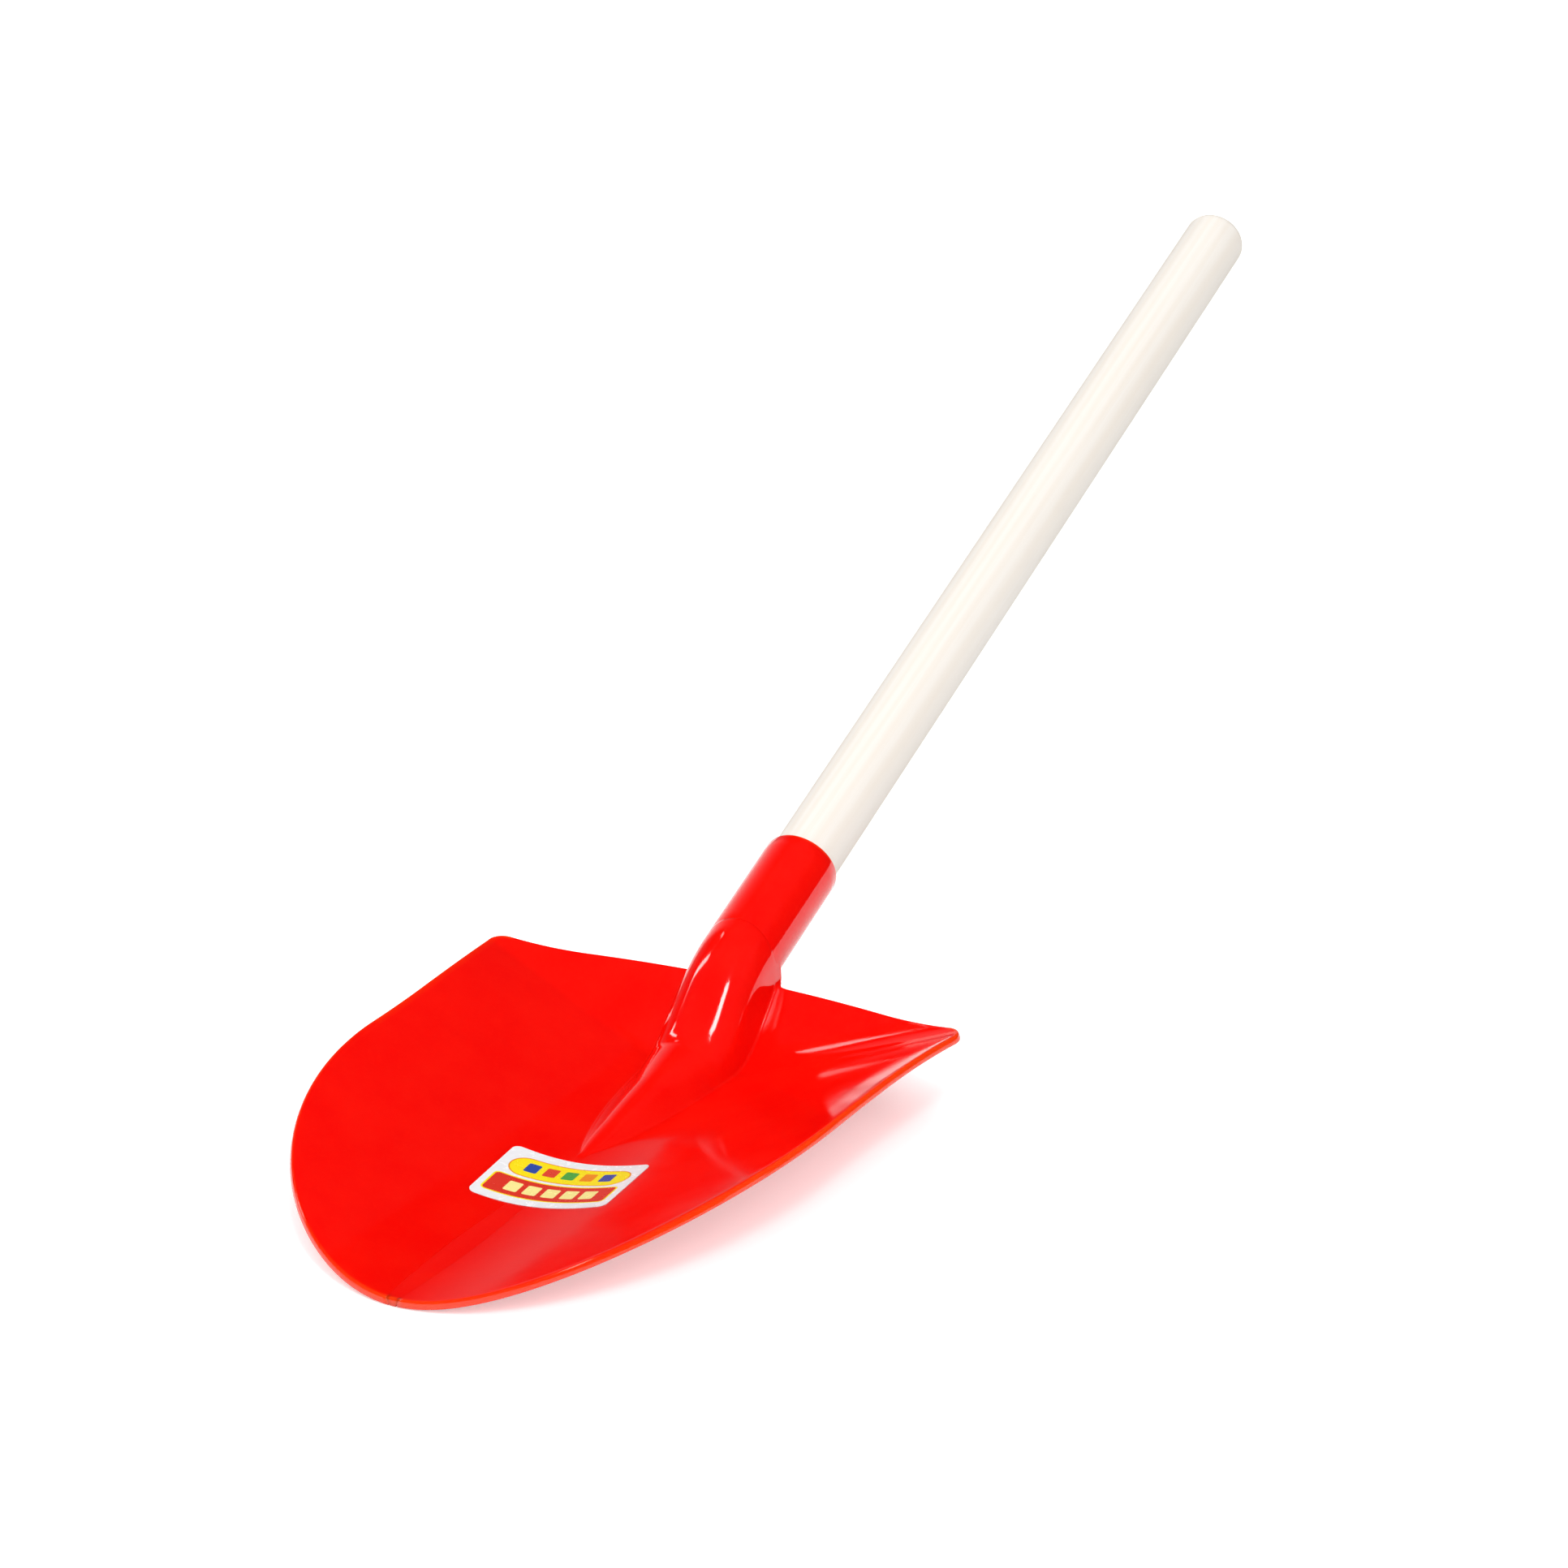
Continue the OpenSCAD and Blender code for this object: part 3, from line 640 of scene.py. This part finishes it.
def label_film():
    """A bare design in plain shapes: a yellow bar and a red bar, each with a row of blocks."""
    m = Nodes("printed_label_film")
    across, along = m.parts(m.coords("UV"))[:2]
    u, v = m.math("MULTIPLY", across, LABEL_UNIT), m.math("MULTIPLY", along, LABEL_UNIT)

    def bar(x, y, cx, cy, hx, hy, r, grow=0.0):
        """A block about (cx, cy) with half sides hx and hy and corners of radius r, widened by grow."""
        beyond = []
        for at, centre, half in ((x, cx, hx), (y, cy, hy)):
            off = m.math("ABSOLUTE", m.math("SUBTRACT", at, centre))
            beyond.append(m.math("MAXIMUM", m.math("SUBTRACT", off, half - r), 0))
        far = m.length(*beyond)
        return m.ramp(far, r + grow - 0.06, r + grow + 0.06, 1, 0)

    place_at = m.coords("Object")
    mottle = m.noise(place_at, 500, 3, 0.6)
    base = m.mix(m.ramp(mottle, 0.35, 0.7), FILM_COOL, FILM_PALE)
    base = m.mix(bar(u, v, 0.2, 5.2, 15.6, 4.3, 4.2, 0.35), base, PRINT_ORANGE)
    base = m.mix(bar(u, v, 0.2, 5.2, 15.6, 4.3, 4.2), base, PRINT_YELLOW)
    base = m.mix(bar(u, v, -0.2, -5.3, 16.0, 4.4, 1.0, 0.45), base, PRINT_YELLOW)
    base = m.mix(bar(u, v, -0.2, -5.3, 16.0, 4.4, 1.0), base, PRINT_RED)
    # a row of plain blocks on each bar
    count, pitch, first = len(PRINT_BLOCKS), 5.0, -12.3
    slot_at = m.math("DIVIDE", m.math("SUBTRACT", u, first), pitch)
    local = m.math("MULTIPLY", m.math("SUBTRACT", m.math("FRACT", slot_at), 0.5), pitch)
    inside = m.product(m.math("GREATER_THAN", slot_at, 0), m.math("LESS_THAN", slot_at, count))
    colour = m.add("ShaderNodeValToRGB")
    colour.color_ramp.interpolation = "CONSTANT"
    ends = colour.color_ramp.elements
    while len(ends) < count:
        ends.new(0.5)
    for i, tint in enumerate(PRINT_BLOCKS):
        ends[i].position = i / count
        ends[i].color = (*tint, 1)
    m.link(m.math("DIVIDE", m.math("ADD", m.math("FLOOR", slot_at), 0.5), count), colour.inputs[0])
    upper = m.product(bar(local, v, 0, 5.4, 1.7, 2.2, 0.5), inside)
    lower = m.product(bar(local, v, 0, -5.3, 1.8, 2.4, 0.5), inside)
    base = m.mix(upper, base, colour.outputs[0])
    base = m.mix(lower, base, PRINT_CREAM)
    skin = m.bump(m.noise(place_at, 240, 2, 0.5), 0.06, 0.0003)
    rough = m.ramp(mottle, 0.3, 0.7, 0.2, 0.3)
    m.principled(Base_Color=base, Roughness=rough, Normal=skin)
    return m.mat


# The pieces
def rim_glow_share(point):
    """Share of the painted orange glow: 1 on the rounded rim of the blade, less on the socket's mouth, 0
    a millimetre further in.
    """
    along = (point - AXIS_ORIGIN).dot(AXIS)
    away = (point - AXIS_ORIGIN - AXIS * along).length
    if along > MOUTH_STATION - MOUTH_GLOW_BAND and away < SOCKET_RADIUS + 0.5:
        return clamp01(1 - (MOUTH_STATION - along) / MOUTH_GLOW_FADE) * MOUTH_GLOW_SHARE
    t = -point.y
    if away < SOCKET_RADIUS + 1.5 or t < -4:
        return 0.0
    half = outline(min(max(t, 0.0), BLADE_LENGTH - 0.01), 0)
    left = half - abs(point.x)
    if t > SIDE:
        slope = math.hypot(point.x / HALF_FRONT, (t - SIDE) / FRONT_LENGTH)
        left = (1 - slope) * (FRONT_LENGTH + HALF_FRONT) / 2
    return clamp01(1 - left / RIM_GLOW_FADE)


def thin_share(point):
    """1 on the thin blade, 0 on the ridge and the socket."""
    beside = ease((abs(point.x) - THIN_SIDE) / THIN_FADE)
    return max(beside, ease((-point.y - RIDGE_LENGTH - THIN_FRONT) / THIN_FADE))


def scoop_piece():
    """Blade, ridge, socket and screw seat; its UV map holds the two shares that the plastic reads, the
    painted rim glow and the thin blade.
    """
    verts, faces = merge(shell(), socket(), screw_seat())
    shares = [(rim_glow_share(v), thin_share(v)) for v in verts]
    obj = new_object("moulded_scoop", in_metres(verts), faces)
    # the ridge runs on into the socket, so its rear border keeps the shading of its top
    first, last = HALF_COUNT - 1 - ARCS, HALF_COUNT - 1 + ARCS
    for edge in obj.data.edges:
        if all(first <= end <= last for end in edge.vertices):
            edge.use_edge_sharp = True
    map_uv(obj, "rim", shares)
    return obj


scoop = scoop_piece()
scoop.data.materials.append(red_plastic())
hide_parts("scoop")
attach(scoop, "root")


def handle_profile():
    """From the chamfered foot in the bore, with the bore's draft, to the rounded free end."""
    foot, end = BORE_STATION + FIT_GAP, HANDLE_STATION
    drafted = (MOUTH_STATION - foot) / (MOUTH_STATION - BORE_STATION)
    narrow = HANDLE_RADIUS - (BORE_RADIUS - BORE_BOTTOM) * drafted
    profile = [(foot, 0), (foot, narrow - HANDLE_CHAMFER), (foot + HANDLE_CHAMFER, narrow)]
    straight, steps = end - HANDLE_EDGE - MOUTH_STATION, 40
    profile += [(MOUTH_STATION + straight * i / steps, HANDLE_RADIUS) for i in range(steps)]
    profile += arc(end - HANDLE_EDGE, HANDLE_RADIUS - HANDLE_EDGE, HANDLE_EDGE, 90, 0, 14)
    profile += [(end, (HANDLE_RADIUS - HANDLE_EDGE) * 0.5), (end, 0)]
    return profile


def turned(name, profile, segments, origin, axis):
    """A turned piece in its own frame, with local Z along its axis, put in place by its matrix."""
    verts, faces = lathe(profile, segments, Vector((0, 0, 0)), Vector((0, 0, 1)), Vector((1, 0, 0)))
    obj = new_object(name, [v * MM for v in verts], faces)
    across = axis.cross(SIDE_DIR)
    turn = Matrix((SIDE_DIR, across, axis)).transposed().to_4x4()
    obj.matrix_world = Matrix.Translation(Vector((origin.x, origin.y + SHIFT, origin.z)) * MM) @ turn
    return obj


handle = turned("wooden_handle", handle_profile(), HANDLE_SEGMENTS, AXIS_ORIGIN, AXIS)
handle.data.materials.append(bare_wood())
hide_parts("handle")
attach(handle, "root")


def screw_profile():
    """From the point up the shank to the crowned head."""
    profile = [(-THREAD_LENGTH, 0), (-THREAD_LENGTH + POINT_LENGTH, THREAD_RADIUS)]
    profile += [(-0.2, THREAD_RADIUS), (0, THREAD_RADIUS + 0.1), (0, HEAD_RADIUS - 0.25)]
    profile += [(0.1, HEAD_RADIUS - 0.08), (0.3, HEAD_RADIUS), (HEAD_SIDE, HEAD_RADIUS)]
    for i in range(1, CROWN_STEPS):
        g = math.pi / 2 * i / CROWN_STEPS
        profile.append((HEAD_SIDE + (HEAD_HEIGHT - HEAD_SIDE) * math.sin(g),
                        HEAD_RADIUS * (0.5 + 0.5 * math.cos(g))))
    return profile + [(HEAD_HEIGHT, HEAD_RADIUS * 0.3), (HEAD_HEIGHT, 0)]


seat_at = AXIS_ORIGIN + AXIS * SCREW_STATION + UNDER * (SOCKET_RADIUS + SEAT_HEIGHT)
screw = turned("pan_head_screw", screw_profile(), SCREW_SEGMENTS, seat_at, UNDER)


def recess_cutter():
    """A cross that narrows towards its bottom."""
    verts = []
    for over, long, wide in RECESS:
        corners = [(wide, long), (-wide, long), (-wide, wide)]
        for _ in range(4):
            verts += [Vector((x, y, HEAD_HEIGHT + over)) * MM for x, y in corners]
            corners = [(-y, x) for x, y in corners]
    faces = [tuple(range(12)), tuple(range(23, 11, -1))]
    faces += [(i, 12 + i, 12 + (i + 1) % 12, (i + 1) % 12) for i in range(12)]
    return new_object("recess_cutter", verts, faces, False)


cutter = recess_cutter()
cutter.matrix_world = screw.matrix_world
bpy.context.view_layer.update()
cut = screw.modifiers.new("recess", "BOOLEAN")
cut.operation = "DIFFERENCE"
cut.solver = "EXACT"
cut.object = cutter
bpy.context.view_layer.update()
cut_mesh = bpy.data.meshes.new_from_object(screw.evaluated_get(bpy.context.evaluated_depsgraph_get()))
screw.modifiers.clear()
screw.data = cut_mesh
bpy.data.objects.remove(cutter)
screw.data.set_sharp_from_angle(angle=SCREW_SHARP)
screw.data.materials.append(screw_steel())
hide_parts("fixing_screw")
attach(screw, "root")


def label_piece():
    """A thin film that follows the floor of the blade, with round corners."""
    half_height, ends = LABEL_HEIGHT / 2, LABEL_CORNER_ROWS
    levels = [-half_height + LABEL_CORNER * (1 - math.cos(math.pi / 2 * i / ends)) for i in range(ends)]
    levels += [-half_height + LABEL_CORNER + (LABEL_HEIGHT - 2 * LABEL_CORNER) * i / LABEL_ROWS
               for i in range(LABEL_ROWS + 1)]
    levels += [half_height - LABEL_CORNER * (1 - math.sin(math.pi / 2 * i / ends))
               for i in range(1, ends + 1)]
    verts, faces, flat = [], [], []
    for height in (LABEL_LIFT, LABEL_LIFT + LABEL_THICK):
        for v in levels:
            over = max(0.0, abs(v) - half_height + LABEL_CORNER)
            bend = math.sqrt(max(0.0, LABEL_CORNER ** 2 - over ** 2))
            half = LABEL_WIDTH / 2 - LABEL_CORNER + bend
            for i in range(LABEL_COLUMNS + 1):
                u = half * (2 * i / LABEL_COLUMNS - 1)
                x = LABEL_SHIFT + u * math.cos(LABEL_TURN) - v * math.sin(LABEL_TURN)
                y = -LABEL_STATION + u * math.sin(LABEL_TURN) + v * math.cos(LABEL_TURN)
                n = dish_normal(x, y)
                verts.append(Vector((x, y, dish(x, y))) + n * height)
                flat.append((u / LABEL_UNIT, v / LABEL_UNIT))
    lot, wide, last = len(levels) * (LABEL_COLUMNS + 1), LABEL_COLUMNS + 1, len(levels) - 1
    for a, b, c, d in cells(len(levels), wide):
        faces += [(a, d, c, b), (lot + a, lot + b, lot + c, lot + d)]
    edge = list(range(wide)) + [j * wide + LABEL_COLUMNS for j in range(1, last + 1)]
    edge += [last * wide + i for i in range(LABEL_COLUMNS - 1, -1, -1)]
    edge += [j * wide for j in range(last - 1, 0, -1)]
    for a, b in zip(edge, edge[1:] + edge[:1]):
        faces.append((a, b, lot + b, lot + a))
    obj = new_object("label_film", in_metres(verts), faces)
    map_uv(obj, "UVMap", flat)
    obj.data.set_sharp_from_angle(angle=LABEL_SHARP)
    return obj


label = label_piece()
label.data.materials.append(label_film())
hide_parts("label")
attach(label, "root")


# Floor and backdrop: metres, shares of full white, and degrees about the middle of the wall
FLOOR_HALF, FLOOR_GLOW, FLOOR_SPREAD = 9.0, (0.42, 1.0), (0.4, 1.5)
WALL_TURNS, WALL_LEVELS, WALL_REACH, WALL_HEIGHT = 60, 48, 8.5, 14.0
WALL_AT, HALF_ARC = -125.0, 40.0
PANEL_LOW, PANEL_TOP, PANEL_SIDES = 6, 56, (-9, -3, 5, 15)
HAZE, HAZE_LOW, HAZE_TOP, HAZE_SIDES = 0.2, 10, 30, (20, 38)


def white_for_eye(m, shader, strength):
    """Adds light that only the camera and reflections see, so the floor keeps the shadow."""
    path = m.add("ShaderNodeLightPath")
    seen = m.math("MAXIMUM", path.outputs["Is Camera Ray"],
                  m.math("MAXIMUM", path.outputs["Is Glossy Ray"], path.outputs["Is Transmission Ray"]))
    glow = m.add("ShaderNodeEmission")
    m.feed(glow.inputs["Strength"], m.math("MULTIPLY", seen, strength))
    both = m.add("ShaderNodeAddShader")
    m.link(shader, both.inputs[0])
    m.link(glow.outputs[0], both.inputs[1])
    m.link(both.outputs[0], m.out.inputs[0])


def floor_glow(m):
    """Weaker about the object and full further out, so the floor blends into the backdrop."""
    x, y = m.parts(m.coords("Object"))[:2]
    return m.ramp(m.length(x, y), *FLOOR_SPREAD, *FLOOR_GLOW, kind="SMOOTHSTEP")


def wall_glow(m):
    """A bright panel that fades with height, with a faint haze beside it; angles in degrees."""
    aside, up = m.parts(m.coords("UV"))[:2]
    up = m.math("MULTIPLY", up, 90)
    panel = m.product(m.ramp(up, PANEL_LOW, PANEL_TOP, 1, 0), m.ramp(up, PANEL_LOW, PANEL_TOP, 1, 0.3),
                      m.ramp(aside, *PANEL_SIDES[:2], 0, 1), m.ramp(aside, *PANEL_SIDES[2:], 1, 0))
    haze = m.product(m.ramp(up, HAZE_LOW, HAZE_TOP, HAZE, 0),
                     m.ramp(m.math("ABSOLUTE", aside), *HAZE_SIDES, 1, 0))
    return m.math("MAXIMUM", panel, haze)


def matt(name, colour, glow):
    """A matt material with the glow that the function works out."""
    m = Nodes(name)
    diffuse = m.add("ShaderNodeBsdfDiffuse")
    diffuse.inputs["Color"].default_value = (*colour, 1)
    white_for_eye(m, diffuse.outputs[0], glow(m))
    return m.mat


def backdrop_piece():
    """Part of a round wall behind the object, mapped by its angle aside and its elevation."""
    verts, flat = [], []
    for j in range(WALL_LEVELS + 1):
        for i in range(WALL_TURNS + 1):
            aside = HALF_ARC * (1 - 2 * i / WALL_TURNS)
            g = math.radians(WALL_AT + aside)
            z = WALL_HEIGHT * j / WALL_LEVELS
            verts.append((WALL_REACH * math.sin(g), -WALL_REACH * math.cos(g), z))
            flat.append((-aside, math.degrees(math.atan2(z, WALL_REACH)) / 90))
    obj = new_object("backdrop", verts, list(cells(WALL_LEVELS + 1, WALL_TURNS + 1)))
    map_uv(obj, "UVMap", flat)
    return obj


floor = new_object("floor", [(-FLOOR_HALF, -FLOOR_HALF, 0), (FLOOR_HALF, -FLOOR_HALF, 0),
                             (FLOOR_HALF, FLOOR_HALF, 0), (-FLOOR_HALF, FLOOR_HALF, 0)], [(0, 1, 2, 3)])
floor.data.materials.append(matt("floor_white", FLOOR_WHITE, floor_glow))

backdrop = backdrop_piece()
backdrop.data.materials.append(matt("backdrop_white", WALL_GREY, wall_glow))

# Light
TARGET = Vector((0, -0.12, 0.02))
WORLD_LIGHT = 0.03
world = bpy.data.worlds.new("studio")
bpy.context.scene.world = world
world.use_nodes = True
world.node_tree.nodes["Background"].inputs[0].default_value = (1, 1, 1, 1)
world.node_tree.nodes["Background"].inputs[1].default_value = WORLD_LIGHT


def softbox(name, azimuth, elevation, distance, width, height, radiance, glossy, roll):
    """An area light that faces the target; azimuth 0 is in front of the blade's tip, 90 on its right."""
    a, e = math.radians(azimuth), math.radians(elevation)
    data = bpy.data.lights.new(name, "AREA")
    data.shape = "RECTANGLE"
    data.size, data.size_y = width, height
    data.energy = radiance * math.pi * width * height
    obj = bpy.data.objects.new(name, data)
    bpy.context.scene.collection.objects.link(obj)
    away = Vector((math.sin(a) * math.cos(e), -math.cos(a) * math.cos(e), math.sin(e)))
    obj.location = TARGET + away * distance
    facing = (TARGET - obj.location).to_track_quat("-Z", "Y").to_matrix()
    obj.rotation_euler = (facing @ Matrix.Rotation(math.radians(roll), 3, "Z")).to_euler()
    obj.visible_glossy = glossy


# Name, azimuth and elevation in degrees, distance, width and height in metres, radiance, whether
# reflections show it, and its roll in degrees
LAMPS = (
    ("key", 37, 55.5, 1.9, 0.25, 0.44, 22, True, 0),
    ("left", -90, 36, 2.0, 0.18, 0.60, 11, True, -8),
    ("sweep", -111, 47, 2.0, 0.09, 0.24, 6, True, -40),
    ("low_right", 108, 3.0, 2.0, 0.46, 0.20, 2.0, True, 0),
    ("fill_top", -20, 84, 2.4, 5.5, 5.5, 0.98, False, 0),
    ("fill_front", 15, 32, 3.0, 3.4, 2.2, 1.25, False, 0),
    ("fill_right", 85, 30, 3.0, 3.0, 2.2, 1.05, False, 0),
    ("fill_left", -75, 30, 3.0, 3.0, 2.2, 0.6, False, 0),
)
for lamp in LAMPS:
    softbox(*lamp)

# Camera, worked out from the picture: focal length in pixels of its full width
AZIMUTH, ELEVATION = math.radians(27.754296), math.radians(20.538948)
FOCAL, FRAME_WIDTH, SENSOR = 5739.351, 1932, 36.0
CAMERA_X, CAMERA_Y, CAMERA_Z = 523.203, -961.188, 484.738
camera_data = bpy.data.cameras.new("camera")
camera_data.sensor_fit = "HORIZONTAL"
camera_data.sensor_width = SENSOR
camera_data.lens = SENSOR * FOCAL / FRAME_WIDTH
camera_data.clip_end = 60
camera = bpy.data.objects.new("camera", camera_data)
bpy.context.scene.collection.objects.link(camera)
camera.location = Vector((CAMERA_X, CAMERA_Y + SHIFT, CAMERA_Z)) * MM
camera.rotation_euler = (math.pi / 2 - ELEVATION, 0, AZIMUTH)
bpy.context.scene.camera = camera
bpy.context.scene.view_settings.view_transform = "Standard"
